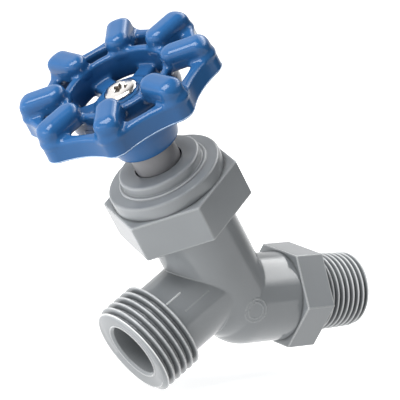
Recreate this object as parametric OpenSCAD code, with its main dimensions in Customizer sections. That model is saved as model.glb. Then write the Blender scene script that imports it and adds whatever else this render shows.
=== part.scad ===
// Hose bibb with a Y-pattern moulded body. A tapered pipe thread with its own
// hexagon is the inlet, the stem leans away from it, and the hose outlet leaves
// square to the stem. A lobed handwheel screws the stem down onto a seat.
// The origin is the centre of the inlet end. +X points into the pipe, +Z is up.
// Heights named along the stem start where the stem axis meets the inlet axis.

/* [Inlet] */
// Length of the tapered pipe thread
inlet_thread_len = 16.6; // [13:0.1:22]
// Radius over the thread crests at the inlet end
inlet_crest_r = 10.36; // [9.6:0.01:11.5]
// Growth of the crest radius for each millimetre of thread
inlet_taper = 0.03125; // [0.02:0.00125:0.04]
// Lead-in chamfer at the inlet end
inlet_chamfer = 1; // [0.4:0.1:1.5]
// Radius of the inlet waterway
inlet_bore_r = 6.2; // [5.4:0.1:7]
// Inlet hexagon across its flats
inlet_hex_af = 26; // [25:0.1:30]
// Width of the inlet hexagon along the pipe
inlet_hex_w = 9.2; // [6:0.1:12]

/* [Body] */
// Distance from the inlet end to the stem axis
stem_reach = 41.3; // [40:0.1:48]
// Lean of the stem from the vertical
stem_lean = 35; // [30:1:40]
// Radius of the neck between the inlet hexagon and the elbow
neck_r = 12.3; // [11.8:0.1:14]
// How far the centre of the elbow lies on the inlet side of the stem axis
elbow_shift = 3.3; // [2:0.1:4.5]
// Outer radius of the stem barrel
barrel_r = 12; // [11.6:0.1:14]
// Height of the open end of the barrel
barrel_top = 37.5; // [35.5:0.1:39]
// Height of the centre of the round lower end of the barrel
barrel_base = 2.5; // [1.5:0.1:3.5]
// Room round the stem thread in the valve chamber
chamber_gap = 1; // [0.7:0.1:1.4]

/* [Seat] */
// Height of the seat face
seat_z = 1; // [0.6:0.1:1.5]
// Height of the seat ring above the chamber floor
seat_rise = 1; // [0.6:0.1:1.2]
// Radius of the seat port
port_r = 5.2; // [4.6:0.1:5.6]
// Width of the flat land round the port
seat_land = 1.2; // [0.8:0.1:1.4]
// Depth of the turn below the seat
port_depth = 5.6; // [5:0.1:6.4]

/* [Outlet] */
// Height of the outlet axis on the stem axis
outlet_z = 8.55; // [8:0.05:10]
// Distance from the stem axis to the outlet face
outlet_reach = 32.95; // [31:0.05:38]
// Outer radius of the plain outlet tube
outlet_tube_r = 11.2; // [10.6:0.1:12]
// Radius over the hose thread crests
hose_crest_r = 13.45; // [13.2:0.01:13.5]
// Length of the hose thread
hose_thread_len = 12.6; // [11:0.1:15]
// Lead-in chamfer at the outlet face
hose_chamfer = 1.05; // [0.5:0.05:1.5]
// Radius of the outlet waterway
outlet_bore_r = 7.65; // [6.8:0.05:8]
// Chamfer of the outlet waterway
outlet_bore_chamfer = 1; // [0.5:0.1:1.5]

/* [Bonnet nut] */
// Height of the lower face of the bonnet nut
nut_z = 30.5; // [29.5:0.1:31.5]
// Bonnet nut across its flats
nut_hex_af = 33.4; // [32.6:0.1:36]
// Height of the hexagon
nut_hex_h = 11.1; // [10.6:0.1:12]
// Turn of the hexagon about the stem
nut_turn = 16.5; // [0:0.5:60]
// Radius of the round step above the hexagon
disc_r = 15.9; // [14.5:0.1:16.2]
// Height of the round step
disc_h = 3.9; // [3.4:0.1:4.6]
// Radius of the boss
boss_r = 11.5; // [10.8:0.1:12]
// Height of the boss
boss_h = 3.3; // [3:0.1:4]
// Radius of the low collar at the foot of the boss
collar_r = 12.3; // [12:0.1:13]
// Height of the low collar
collar_h = 0.6; // [0.4:0.1:1]
// Edge chamfer of the round steps
nut_edge = 0.6; // [0.3:0.1:0.8]

/* [Stem guide and seals] */
// Wall of the barrel round the stem guide
guide_wall = 2.3; // [1.9:0.1:2.5]
// Wall of the stem guide round the stem thread
guide_shell = 1.95; // [1.6:0.05:2.2]
// Length of the guide below its flange
guide_len = 14.5; // [12:0.1:15]
// Thickness of the guide flange
flange_h = 2.2; // [1.6:0.1:2.6]
// Thickness of the gasket under the flange
gasket_h = 1; // [0.8:0.1:1.4]
// Radial width of the gasket
gasket_w = 2; // [1.4:0.1:2.2]
// Thickness of the packing washer
packing_washer_h = 1; // [0.6:0.1:1.2]
// Height of the packing ring
packing_h = 3.9; // [3:0.1:4.2]
// Outer radius of the packing ring
packing_r = 9.3; // [8.8:0.1:9.6]

/* [Stem] */
// Radius of the polished shank
stem_r = 6.35; // [6:0.05:6.6]
// Length of the stem thread
stem_thread_len = 17; // [15:0.1:18]
// Radius of the plain foot below the thread
stem_foot_r = 6; // [5.6:0.1:6.4]
// Travel from the seat to the open stop
travel = 7.2; // [6:0.1:7.4]
// Square drive of the stem across its flats
drive_af = 8; // [7.2:0.1:8.6]
// Length of the square drive
drive_len = 11.4; // [9:0.1:12]

/* [Seat disc] */
// Room round the seat disc in the valve chamber
cup_gap = 1; // [0.8:0.1:1.2]
// Thickness of the rubber seat washer
washer_h = 3.2; // [2.6:0.1:3.6]
// Wall of the cup round the washer
cup_wall = 0.6; // [0.5:0.1:0.9]
// Depth of the cup
cup_depth = 2; // [1.5:0.1:2.4]
// Thickness of the holder above the washer
holder_h = 2; // [1.6:0.1:2.6]
// Radius of the swivel pin
swivel_r = 3; // [2.6:0.1:3.2]
// Length of the swivel pin below its snap head
swivel_len = 4.8; // [4:0.1:5]
// How far the snap head stands out from the pin
snap_lip = 0.5; // [0.3:0.1:0.7]
// Height of the snap head
snap_h = 1.8; // [1.4:0.1:2]
// Radius of the washer screw
washer_screw_r = 1.6; // [1.4:0.05:1.8]
// Radius of the washer screw head
washer_head_r = 3.4; // [3:0.1:3.8]
// Height of the washer screw head
washer_head_h = 1.8; // [1.4:0.1:2]
// Length of the washer screw below its head
washer_screw_len = 8; // [6.5:0.1:8.5]

/* [Handwheel] */
// Gap between the closed hub and the boss
hub_gap = 6.3; // [5:0.1:8]
// Radius of the lower edge of the hub
hub_foot_r = 8.7; // [8:0.1:9.2]
// Radius of the hub where the webs leave it
hub_waist_r = 10.6; // [10:0.1:11.2]
// Height of that place above the foot of the hub
hub_waist_h = 7; // [6:0.1:8]
// Radius of the top of the hub
hub_top_r = 7.6; // [7:0.1:8.4]
// Height of the hub
hub_h = 16.3; // [15.6:0.1:17]
// Number of lobes
lobes = 8; // [6:1:9]
// Turn of the wheel about the stem
wheel_turn = 2.8; // [0:0.1:60]
// Height of the lower edge of the rim above the foot of the hub
rim_lift = 14.1; // [13.4:0.1:15]
// Radius of the hollow arcs of the rim between the lobes
hollow_round = 23.2; // [18:0.1:40]
// Thickness of the rim in the middle of a hollow
rim_wall = 3; // [2.6:0.1:4]
// Height of the rim between the lobes
rim_h = 6; // [5:0.1:7]
// Radius over the tips of the lobes
tip_r = 27.2; // [26:0.1:30]
// Radius of the lobe outline
lobe_round = 4.2; // [4:0.1:6]
// Width of the raised finger of each lobe at its foot
finger_w = 8; // [7:0.1:9]
// How much narrower each finger is at its crown
finger_draft = 0.9; // [0.4:0.1:1.4]
// Round over the long edges of the crown
finger_edge = 2.2; // [1.4:0.1:2.4]
// Height of the fingers above the lower edge of the rim
finger_h = 11; // [9.6:0.1:12]
// Round over the outer end of each finger
finger_round = 3.6; // [2.5:0.1:4]
// How far the fingers reach down below the top of the rim
finger_root = 1; // [0.8:0.1:5]
// Inner radius of the ring
ring_r = 13.3; // [12.4:0.1:14]
// Wall of the ring
ring_wall = 2.3; // [1.8:0.1:2.8]
// How far the ring reaches below the rim
ring_drop = 1; // [0.5:0.1:1.4]
// Height of the ring above the lower edge of the rim
ring_h = 6.8; // [6:0.1:7.5]
// Number of webs between the hub and the ring, and of windows between them
webs = 6; // [4:1:8]
// Turn of the webs against the lobes
web_turn = 18; // [0:0.5:60]
// Width of each web
web_w = 5.5; // [4:0.1:6]
// Depth of each web at the ring
web_h = 2.6; // [2:0.1:3.2]

/* [Handwheel screw] */
// Radius of the screw shank
wheel_screw_r = 2.4; // [2:0.05:2.6]
// Radius of the pan head
wheel_head_r = 4.7; // [4.2:0.1:5.2]
// Height of the pan head
wheel_head_h = 2.4; // [2:0.1:3]
// Length of the screw below its head
wheel_screw_len = 10.5; // [9:0.1:12]
// Thickness of the hub above the square drive
hub_roof = 2.4; // [2:0.1:3]

/* [Hidden] */
$fn = 72;

// Clearances
run_gap = 0.05;
fit_gap = 0.1;
free_gap = 0.3;
// Overlap that lets joined forms merge
weld = 0.2;
// Length that carries a cut clear of a face
through = 1;

// Body
hex_far = inlet_thread_len;
hex_near = inlet_thread_len + inlet_hex_w;
neck_len = stem_reach - elbow_shift - hex_near;
turn_z = seat_z - port_depth;
turn_pos = [-stem_reach - turn_z * sin(stem_lean), 0, turn_z * cos(stem_lean)];
turn_in = [-hex_near + port_r / 2, 0, 0];
floor_z = seat_z - seat_rise;

// Guide, gasket, packing and nut
guide_hole_r = barrel_r - guide_wall;
guide_r = guide_hole_r - fit_gap;
thread_hole_r = guide_r - guide_shell;
stem_thread_r = thread_hole_r - run_gap;
chamber_r = stem_thread_r + chamber_gap;
flange_r = barrel_r - fit_gap;
flange_z = barrel_top + gasket_h;
guide_top = flange_z + flange_h;
guide_foot = barrel_top - guide_len;
shank_hole_r = stem_r + run_gap;
packing_z = guide_top + packing_washer_h;
packing_top = packing_z + packing_h;
nut_hole_r = barrel_r + fit_gap;
nut_hex_top = nut_z + nut_hex_h;
disc_top = nut_hex_top + disc_h;
boss_top = disc_top + boss_h;
mouth_r = stem_r + free_gap;

// Seat disc
washer_r = chamber_r - cup_gap - cup_wall;
washer_top = seat_z + washer_h;
cup_z = washer_top - cup_depth;
holder_top = washer_top + holder_h;
cup_r = washer_r + run_gap;
swivel_top = holder_top + swivel_len;
snap_top = swivel_top + snap_h;

// Stem
stem_foot = holder_top + free_gap;
stop_z = guide_foot + guide_len - free_gap + gasket_h;
shoulder_z = stop_z - travel - free_gap;
thread_foot = shoulder_z - stem_thread_len;
hub_foot = boss_top + hub_gap;
shank_in_hub = 2.4;
drive_z = hub_foot + shank_in_hub;
drive_top = drive_z + drive_len;

// Handwheel
rim_z = hub_foot + rim_lift;
hub_top = hub_foot + hub_h;
ring_z = rim_z - ring_drop;
ring_top = rim_z + ring_h;
finger_top = rim_z + finger_h;
finger_lift = rim_h - finger_root;
web_z = ring_z + web_h;
web_foot = hub_foot + hub_waist_h;
crown_w = finger_w - finger_draft;
lobe_centre = tip_r - lobe_round;
lobe_step = 360 / lobes;
web_step = 360 / webs;
// Centre of the hollow arc between two lobes, which touches both lobes
hollow_at = lobe_centre * cos(lobe_step / 2)
    + sqrt(pow(lobe_round + hollow_round, 2) - pow(lobe_centre * sin(lobe_step / 2), 2));
// Outer radius of the rim in the middle of a hollow
rim_r = hollow_at - hollow_round;

// Places a child with +Z along the stem, outwards
module on_stem() {
    translate([-stem_reach, 0, 0])
        rotate([0, -stem_lean, 0])
            children();
}

// Places a child with +Z along the outlet, outwards from the stem axis
module on_outlet() {
    on_stem()
        translate([0, 0, outlet_z])
            rotate([0, -90, 0])
                children();
}

// Places a child with +Z along the inlet, from its end into the body
module on_inlet() {
    rotate([0, -90, 0])
        children();
}

// Solid of revolution about +Z between two heights
module turned(z0, z1, r) {
    translate([0, 0, z0])
        cylinder(h = z1 - z0, r = r);
}

// Ring about +Z between two heights
module ring(z0, z1, r_in, r_out) {
    difference() {
        turned(z0, z1, r_out);
        turned(z0 - through, z1 + through, r_in);
    }
}

// Six-sided bar about +Z
module hex_bar(z0, z1, af) {
    translate([0, 0, z0])
        cylinder(h = z1 - z0, r = af / sqrt(3), $fn = 6);
}

// Round passage from one point of the XZ plane to another
module passage(a, b, r) {
    translate(a)
        rotate([0, atan2(b.x - a.x, b.z - a.z), 0])
            cylinder(h = norm(b - a), r = r);
}

// Thread envelope and hexagon of the inlet
module inlet_form() {
    on_inlet() {
        rotate_extrude()
            polygon([
                [0, 0],
                [inlet_crest_r - inlet_chamfer, 0],
                [inlet_crest_r + inlet_chamfer * inlet_taper, inlet_chamfer],
                [inlet_crest_r + hex_far * inlet_taper, hex_far],
                [inlet_crest_r + hex_far * inlet_taper, hex_far + weld],
                [0, hex_far + weld]
            ]);
        rotate([0, 0, 30])
            hex_bar(hex_far, hex_near, inlet_hex_af);
        turned(hex_near - weld, hex_near + neck_len, neck_r);
        translate([0, 0, hex_near + neck_len])
            sphere(r = neck_r);
    }
}

// Barrel round the stem, closed and rounded below
module barrel_form() {
    on_stem() {
        turned(barrel_base, barrel_top, barrel_r);
        translate([0, 0, barrel_base])
            sphere(r = barrel_r);
    }
}

// Outlet tube and hose thread envelope
module outlet_form() {
    on_outlet()
        rotate_extrude()
            polygon([
                [0, 0],
                [outlet_tube_r, 0],
                [outlet_tube_r, outlet_reach - hose_thread_len],
                [hose_crest_r, outlet_reach - hose_thread_len],
                [hose_crest_r, outlet_reach - hose_chamfer / 2],
                [hose_crest_r - hose_chamfer, outlet_reach],
                [0, outlet_reach]
            ]);
}

// Everything that is open inside the body
module waterway() {
    on_inlet()
        turned(-through, hex_near - port_r / 2, inlet_bore_r);
    passage(turn_in, turn_pos, port_r);
    translate(turn_pos)
        sphere(r = port_r + run_gap);
    on_stem() {
        turned(turn_z, seat_z + through, port_r);
        turned(seat_z, barrel_top + through, chamber_r);
        ring(floor_z, seat_z + run_gap, port_r + seat_land, chamber_r);
        turned(guide_foot - free_gap, barrel_top + through, guide_hole_r);
    }
    on_outlet() {
        turned(0, outlet_reach + through, outlet_bore_r);
        translate([0, 0, outlet_reach - outlet_bore_chamfer])
            cylinder(h = outlet_bore_chamfer * 2, r1 = outlet_bore_r, r2 = outlet_bore_r + outlet_bore_chamfer * 2);
    }
}

module valve_body() {
    color("#90959a")
        difference() {
            union() {
                inlet_form();
                barrel_form();
                outlet_form();
            }
            waterway();
        }
}

module stem_guide() {
    color("#7c8084")
        on_stem()
            difference() {
                union() {
                    turned(guide_foot, guide_top, guide_r);
                    turned(flange_z, guide_top, flange_r);
                }
                turned(guide_foot - through, stop_z, thread_hole_r);
                turned(stop_z - through, guide_top + through, shank_hole_r);
            }
}

module guide_gasket() {
    color("#2c2c2c")
        on_stem()
            ring(barrel_top, flange_z, flange_r - gasket_w, flange_r);
}

module packing_washer() {
    color("#b9975a")
        on_stem()
            ring(guide_top, packing_z, mouth_r, packing_r);
}

module stem_packing() {
    color("#3a3a3a")
        on_stem()
            ring(packing_z, packing_top, shank_hole_r, packing_r);
}

module bonnet_nut() {
    color("#90959a")
        on_stem()
            difference() {
                union() {
                    rotate([0, 0, nut_turn])
                        hex_bar(nut_z, nut_hex_top, nut_hex_af);
                    rotate_extrude()
                        polygon([
                            [0, nut_hex_top - weld],
                            [disc_r, nut_hex_top - weld],
                            [disc_r, disc_top - nut_edge],
                            [disc_r - nut_edge, disc_top],
                            [collar_r, disc_top],
                            [collar_r, disc_top + collar_h],
                            [boss_r, disc_top + collar_h],
                            [boss_r, boss_top - nut_edge],
                            [boss_r - nut_edge, boss_top],
                            [0, boss_top]
                        ]);
                }
                turned(nut_z - through, guide_top, nut_hole_r);
                turned(guide_top - through, packing_top, packing_r + fit_gap);
                turned(packing_top - through, boss_top + through, mouth_r);
            }
}

module stem() {
    color("#6d6a66")
        on_stem()
            difference() {
                union() {
                    turned(stem_foot, drive_z, stem_foot_r);
                    turned(thread_foot, shoulder_z, stem_thread_r);
                    turned(shoulder_z - weld, drive_z, stem_r);
                    translate([0, 0, drive_z - weld + drive_len / 2])
                        cube([drive_af, drive_af, drive_len + weld], center = true);
                }
                turned(stem_foot - through, swivel_top, swivel_r + run_gap);
                turned(swivel_top - free_gap, snap_top + free_gap, swivel_r + snap_lip + free_gap);
                turned(hub_top - wheel_screw_len - through, drive_top + through, wheel_screw_r + run_gap);
            }
}

module washer_holder() {
    color("#b9975a")
        on_stem()
            difference() {
                union() {
                    turned(cup_z, holder_top, washer_r + cup_wall);
                    turned(holder_top - weld, snap_top, swivel_r);
                    turned(swivel_top, snap_top, swivel_r + snap_lip);
                }
                turned(cup_z - through, washer_top, cup_r);
                turned(washer_top - through, seat_z + washer_screw_len + free_gap, washer_screw_r + run_gap);
            }
}

module seat_washer() {
    color("#262626")
        on_stem()
            ring(seat_z, washer_top, washer_screw_r + run_gap, washer_r);
}

module seat_washer_screw() {
    color("#c4a35c")
        on_stem()
            difference() {
                union() {
                    turned(seat_z - washer_head_h, seat_z, washer_head_r);
                    turned(seat_z - weld, seat_z + washer_screw_len, washer_screw_r);
                }
                translate([0, 0, seat_z - washer_head_h])
                    cube([washer_head_r * 3, washer_head_r / 4, washer_head_h], center = true);
            }
}

// Outline of the rim, lobes joined by hollow arcs
module rim_outline() {
    difference() {
        polygon([
            for (i = [0 : lobes - 1], end = [0, 1])
                end == 0
                    ? lobe_centre * [cos(i * lobe_step), sin(i * lobe_step)]
                    : hollow_at * [cos((i + 0.5) * lobe_step), sin((i + 0.5) * lobe_step)]
        ]);
        for (i = [0 : lobes - 1])
            rotate((i + 0.5) * lobe_step)
                translate([hollow_at, 0])
                    circle(r = hollow_round);
    }
    for (i = [0 : lobes - 1])
        rotate(i * lobe_step)
            translate([lobe_centre, 0])
                circle(r = lobe_round);
}

// Cross-section of a finger, narrower and rounded at the crown
module finger_section() {
    polygon([
        [-finger_w / 2, finger_lift],
        [finger_w / 2, finger_lift],
        [crown_w / 2, finger_h - finger_edge],
        [crown_w / 2 - finger_edge, finger_h],
        [finger_edge - crown_w / 2, finger_h],
        [-crown_w / 2, finger_h - finger_edge]
    ]);
    for (side = [-1, 1])
        translate([side * (crown_w / 2 - finger_edge), finger_h - finger_edge])
            circle(r = finger_edge);
}

// Raised finger from the ring out to the tip of a lobe
module finger() {
    intersection() {
        translate([ring_r, 0, rim_z])
            rotate([90, 0, 90])
                linear_extrude(height = tip_r - ring_r)
                    finger_section();
        rotate_extrude() {
            translate([0, rim_z])
                square([tip_r - finger_round, finger_h]);
            translate([0, rim_z])
                square([tip_r, finger_h - finger_round]);
            translate([tip_r - finger_round, finger_top - finger_round])
                circle(r = finger_round);
        }
        linear_extrude(height = finger_top + through)
            translate([lobe_centre, 0]) {
                circle(r = lobe_round);
                translate([-lobe_centre, -lobe_round])
                    square([lobe_centre, lobe_round * 2]);
            }
    }
}

// Sloping web from the hub to the ring
module web() {
    rotate([90, 0, 0])
        linear_extrude(height = web_w, center = true)
            polygon([
                [stem_r + through, web_z],
                [ring_r + ring_wall / 2, web_z],
                [ring_r + ring_wall / 2, ring_z],
                [hub_waist_r - through, web_foot],
                [stem_r + through, web_foot]
            ]);
}

module handwheel() {
    color("#2f64aa")
        on_stem()
            rotate([0, 0, wheel_turn])
                difference() {
                    union() {
                        translate([0, 0, rim_z])
                            linear_extrude(height = rim_h)
                                difference() {
                                    rim_outline();
                                    circle(r = rim_r - rim_wall);
                                }
                        ring(ring_z, ring_top, ring_r, ring_r + ring_wall);
                        for (i = [0 : lobes - 1])
                            rotate([0, 0, i * lobe_step])
                                difference() {
                                    finger();
                                    turned(ring_z, finger_top + through, ring_r + weld);
                                }
                        for (i = [0 : webs - 1])
                            rotate([0, 0, web_turn + i * web_step])
                                web();
                        rotate_extrude()
                            polygon([
                                [0, hub_foot],
                                [hub_foot_r - nut_edge, hub_foot],
                                [hub_foot_r, hub_foot + nut_edge],
                                [hub_waist_r, web_foot],
                                [hub_top_r, web_z],
                                [hub_top_r, hub_top - nut_edge],
                                [hub_top_r - nut_edge, hub_top],
                                [0, hub_top]
                            ]);
                    }
                    turned(hub_foot - through, drive_z + free_gap, mouth_r);
                    translate([0, 0, (hub_foot + hub_top - hub_roof) / 2])
                        rotate([0, 0, -wheel_turn])
                            cube([drive_af + fit_gap, drive_af + fit_gap, hub_h - hub_roof], center = true);
                    turned(hub_foot, hub_top + through, wheel_screw_r + free_gap);
                }
}

module handwheel_screw() {
    color("#d8d8d6")
        on_stem()
            difference() {
                union() {
                    turned(hub_top - wheel_screw_len, hub_top + weld, wheel_screw_r);
                    rotate_extrude()
                        polygon([
                            [0, hub_top],
                            [wheel_head_r, hub_top],
                            [wheel_head_r, hub_top + wheel_head_h * 0.45],
                            [wheel_head_r * 0.88, hub_top + wheel_head_h * 0.78],
                            [wheel_head_r * 0.6, hub_top + wheel_head_h],
                            [0, hub_top + wheel_head_h]
                        ]);
                }
                for (a = [0, 90])
                    translate([0, 0, hub_top + wheel_head_h])
                        rotate([0, 0, a + 30])
                            cube([wheel_head_r * 1.1, wheel_head_r * 0.24, wheel_head_h], center = true);
            }
}

valve_body();
stem_guide();
guide_gasket();
packing_washer();
stem_packing();
bonnet_nut();
stem();
washer_holder();
seat_washer();
seat_washer_screw();
handwheel();
handwheel_screw();
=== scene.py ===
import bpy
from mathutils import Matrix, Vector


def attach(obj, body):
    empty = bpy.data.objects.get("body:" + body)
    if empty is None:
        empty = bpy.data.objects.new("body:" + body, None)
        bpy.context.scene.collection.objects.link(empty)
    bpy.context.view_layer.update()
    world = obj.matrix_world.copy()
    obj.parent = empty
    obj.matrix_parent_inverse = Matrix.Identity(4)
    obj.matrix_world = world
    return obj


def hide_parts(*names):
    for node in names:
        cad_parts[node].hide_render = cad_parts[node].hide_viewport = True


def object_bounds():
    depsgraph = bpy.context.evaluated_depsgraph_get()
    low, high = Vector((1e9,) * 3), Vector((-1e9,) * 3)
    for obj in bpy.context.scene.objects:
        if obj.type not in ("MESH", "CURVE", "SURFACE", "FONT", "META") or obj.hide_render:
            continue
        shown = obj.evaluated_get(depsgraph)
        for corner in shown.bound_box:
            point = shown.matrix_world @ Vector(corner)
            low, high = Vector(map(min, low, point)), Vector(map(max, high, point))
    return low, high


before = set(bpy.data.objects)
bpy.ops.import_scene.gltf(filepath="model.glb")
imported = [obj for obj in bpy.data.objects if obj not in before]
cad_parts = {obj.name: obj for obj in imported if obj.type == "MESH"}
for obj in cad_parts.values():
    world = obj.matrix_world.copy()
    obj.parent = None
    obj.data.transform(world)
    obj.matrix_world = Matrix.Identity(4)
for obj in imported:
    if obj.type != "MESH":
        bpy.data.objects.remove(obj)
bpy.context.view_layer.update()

import math
from itertools import product

import bmesh
import bpy
import numpy as np
from mathutils import Matrix, Vector

mm = 0.001
turn = 2 * math.pi

# Where the stem and the outlet stand, from the part's own sizes, in millimetres
layout = {
    "stemReach": 41.3,
    "stemLean": 35,
    "outletHeight": 8.55,
    "outletReach": 32.95,
}
lean = math.radians(layout["stemLean"])
sideways = Matrix.Rotation(math.radians(-90), 4, "Y")
inMillimetres = Matrix.Scale(mm, 4)
stemFoot = Matrix.Translation((-layout["stemReach"] * mm, 0, 0))
stemPlace = stemFoot @ Matrix.Rotation(-lean, 4, "Y") @ inMillimetres
outletPlace = stemPlace @ Matrix.Translation((0, 0, layout["outletHeight"])) @ sideways
inletPlace = sideways @ inMillimetres
print("frame loaded, nodes:", len(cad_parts))


def toLinear(hexColour):
    channels = [int(hexColour[i:i + 2], 16) / 255 for i in (1, 3, 5)]
    return [c / 12.92 if c <= 0.04045 else ((c + 0.055) / 1.055) ** 2.4 for c in channels] + [1.0]


def addNode(material, kind, settings=None, inputs=None):
    # settings are the node's own options, inputs are numbers, colours or sockets to link
    node = material.node_tree.nodes.new(kind)
    for name, value in (settings or {}).items():
        setattr(node, name, value)
    for name, value in (inputs or {}).items():
        if isinstance(value, bpy.types.NodeSocket):
            material.node_tree.links.new(value, node.inputs[name])
        else:
            node.inputs[name].default_value = value
    return node


def link(material, output, socket):
    material.node_tree.links.new(output, socket)


def newMaterial(name, look, metallic=0.0):
    # returns the material, its shader and the object coordinates that its patterns use, in metres
    material = bpy.data.materials.new(name)
    material.use_nodes = True
    shader = material.node_tree.nodes["Principled BSDF"]
    shader.inputs["Metallic"].default_value = metallic
    shader.inputs["Roughness"].default_value = look["roughness"]
    if "ior" in look:
        shader.inputs["IOR"].default_value = look["ior"]
    place = addNode(material, "ShaderNodeTexCoord").outputs["Object"]
    return material, shader, place


def clouded(material, shader, place, look):
    # soft clouds between the two tones of a finish, which may also vary its gloss
    noise = addNode(material, "ShaderNodeTexNoise", {}, {
        "Vector": place, "Scale": 1000 / look["cloudMm"], "Detail": look["cloudDetail"],
        "Roughness": look.get("cloudRoughness", 0.5)})
    tint = addNode(material, "ShaderNodeMix", {"data_type": "RGBA"}, {
        0: noise.outputs["Fac"], 6: toLinear(look["dark"]), 7: toLinear(look["light"])})
    link(material, tint.outputs[2], shader.inputs["Base Color"])
    if "varies" in look:
        less, more = look["varies"]
        gloss = addNode(material, "ShaderNodeMapRange", {}, {
            "Value": noise.outputs["Fac"], "From Min": 0.3, "From Max": 0.7,
            "To Min": look["roughness"] - less, "To Max": look["roughness"] + more})
        link(material, gloss.outputs["Result"], shader.inputs["Roughness"])
    return tint.outputs[2]


def paintedLight(material, shader, under, tone, settings=None):
    # painted shade where the form closes in, or painted highlight at its edges when the rays are cast
    # inside;
    # a tone is its reach in mm, the openness where it is full and where it ends, its share and its colour
    reachMm, fullAt, endsAt, share, colour = tone
    hollow = addNode(material, "ShaderNodeAmbientOcclusion", {"samples": 8, **(settings or {})}, {
        "Distance": reachMm * mm})
    amount = addNode(material, "ShaderNodeMapRange", {}, {
        "Value": hollow.outputs["AO"], "From Min": fullAt, "From Max": endsAt,
        "To Min": share, "To Max": 0.0})
    mixed = addNode(material, "ShaderNodeMix", {"data_type": "RGBA"}, {
        0: amount.outputs["Result"], 6: under, 7: toLinear(colour)})
    link(material, mixed.outputs[2], shader.inputs["Base Color"])
    return mixed.outputs[2]


def grained(material, shader, place, grain):
    # fine relief in the surface: its size in mm, its detail, its strength and its depth in mm
    sizeMm, detail, strength, depthMm = grain
    relief = addNode(material, "ShaderNodeTexNoise", {}, {
        "Vector": place, "Scale": 1000 / sizeMm, "Detail": detail})
    bump = addNode(material, "ShaderNodeBump", {}, {
        "Height": relief.outputs["Fac"], "Strength": strength, "Distance": depthMm * mm})
    link(material, bump.outputs["Normal"], shader.inputs["Normal"])


def mouldedAcetalGrey():
    # acetal copolymer, injection moulded in a polished mould: smooth, with crisp reflections of the studio
    look = {
        "light": "#9a9ea1", "dark": "#94989b", "ior": 1.48, "roughness": 0.13, "varies": (0.02, 0.03),
        "cloudMm": 9, "cloudDetail": 4.0, "grain": (0.5, 1.0, 0.06, 0.01),
        "dustAndShade": (1.4, 0.25, 0.8, 0.85, "#3a3c3e"),
        "hollowShade": (16.0, 0.15, 0.82, 0.85, "#4a4c4e"),
        "edgeHighlight": (0.5, 0.66, 0.95, 1.0, "#e6e8e9")}
    material, shader, place = newMaterial("mouldedAcetalGrey", look)
    # the melt flows in wide faint clouds
    tint = clouded(material, shader, place, look)
    # painted shade, with some dust: darker in the roots of the threads and in the corners
    creaseShaded = paintedLight(material, shader, tint, look["dustAndShade"])
    # painted shade: a broad grey darkening deep in the bore and the hollows of the same piece
    hollowShaded = paintedLight(material, shader, creaseShaded, look["hollowShade"], {"only_local": True})
    # painted highlight: the sharp edges are lighter
    paintedLight(material, shader, hollowShaded, look["edgeHighlight"], {"inside": True, "only_local": True})
    # grain of the moulded skin, half a millimetre across and a few micrometres deep
    grained(material, shader, place, look["grain"])
    return material


def mouldedNylonDarkGrey():
    # glass-filled nylon, moulded: darker, drier and a little streaky along the flow
    look = {
        "light": "#838386", "dark": "#777779", "ior": 1.53, "roughness": 0.36, "varies": (0.06, 0.06),
        "cloudMm": 2.5, "cloudDetail": 5.0, "cloudRoughness": 0.65,
        "fibres": (0.3, 2.0, 0.15, 0.03)}
    material, shader, place = newMaterial("mouldedNylonDarkGrey", look)
    clouded(material, shader, place, look)
    grained(material, shader, place, look["fibres"])
    return material


def blueEnamelOnDieCastZinc():
    # stoved gloss enamel on a die-cast wheel: smooth, with painted shade in the hollows, where the enamel
    # also pools a little darker
    look = {
        "light": "#2f659c", "dark": "#265689", "ior": 1.45, "roughness": 0.14, "varies": (0.03, 0.04),
        "cloudMm": 11, "cloudDetail": 3.0, "mirror": 0.38, "peel": (2.4, 1.5, 0.1, 0.04),
        "poolAndShade": (8.0, 0.2, 0.92, 0.95, "#12335a")}
    material, shader, place = newMaterial("blueEnamelOnDieCastZinc", look)
    shader.inputs["Specular IOR Level"].default_value = look["mirror"]
    tint = clouded(material, shader, place, look)
    # painted shade, with some pooled enamel: darker in the hollows, under the rim and between the fingers
    paintedLight(material, shader, tint, look["poolAndShade"])
    # orange peel of the stoved enamel, waves of about 2.4 mm
    grained(material, shader, place, look["peel"])
    return material


def enamelPaintedHighlight():
    # the same enamel painted pale along the sharp flash of the casting: a painted highlight
    look = {
        "light": "#c3d6ec", "dark": "#8fb0d6", "ior": 1.5, "roughness": 0.22,
        "cloudMm": 4, "cloudDetail": 3.0}
    material, shader, place = newMaterial("enamelPaintedHighlight", look)
    clouded(material, shader, place, look)
    return material


def nickelPlatedSteel():
    # cold-headed steel with bright nickel plate: mirror-like, warm, and stained in small clouds
    look = {
        "light": "#f8f5f2", "dark": "#e8e3de", "roughness": 0.17, "varies": (0.05, 0.05),
        "cloudMm": 1.6, "cloudDetail": 4.0, "scuffs": (0.4, 3.0, 0.12, 0.02),
        "recessShade": (1.6, 0.45, 0.92, 0.9, "#54483e")}
    material, shader, place = newMaterial("nickelPlatedSteel", look, metallic=1.0)
    tint = clouded(material, shader, place, look)
    # painted shade darkens the recess, with a brownish tint
    paintedLight(material, shader, tint, look["recessShade"], {"only_local": True})
    grained(material, shader, place, look["scuffs"])
    return material


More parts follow.
